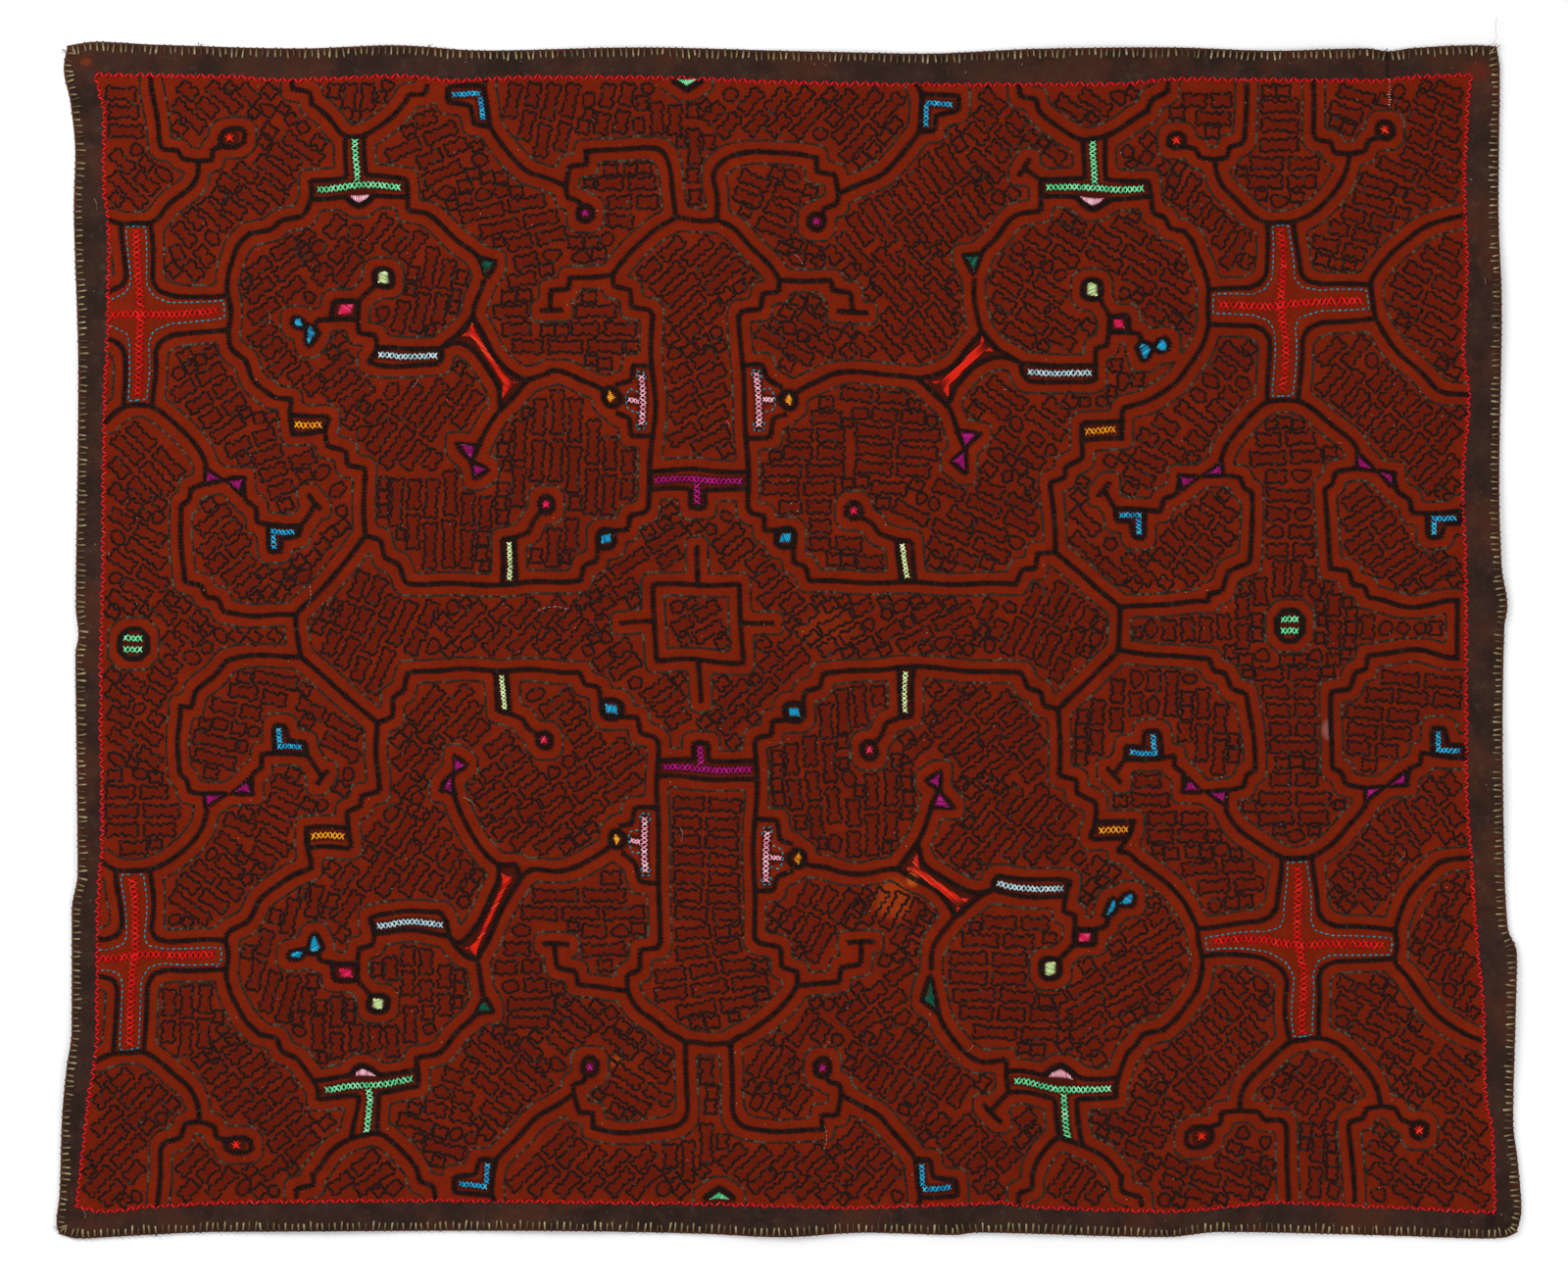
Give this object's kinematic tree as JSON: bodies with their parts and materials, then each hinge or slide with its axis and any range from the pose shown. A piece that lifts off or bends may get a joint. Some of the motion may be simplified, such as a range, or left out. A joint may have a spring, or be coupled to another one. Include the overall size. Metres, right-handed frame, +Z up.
{
  "type": "shipibo textile",
  "caption": "Flat rectangular cotton cloth with a turned hem, embroidered with a traditional geometric maze pattern; a cover or wall panel laid face up.",
  "frame": {"origin": "middle of the cloth's bounding box, on the surface that it lies on", "axes": "+Z up out of the embroidered face, +Y towards the top edge, +X towards the right edge"},
  "size_m": [1.4939, 1.2202, 0.0054],
  "materials": {
    "cotton": "matt hand-woven cotton dyed rust brown, with a darker margin"
  },
  "bodies": {
    "root": {"cloth": "cotton"}
  },
  "joints": []
}
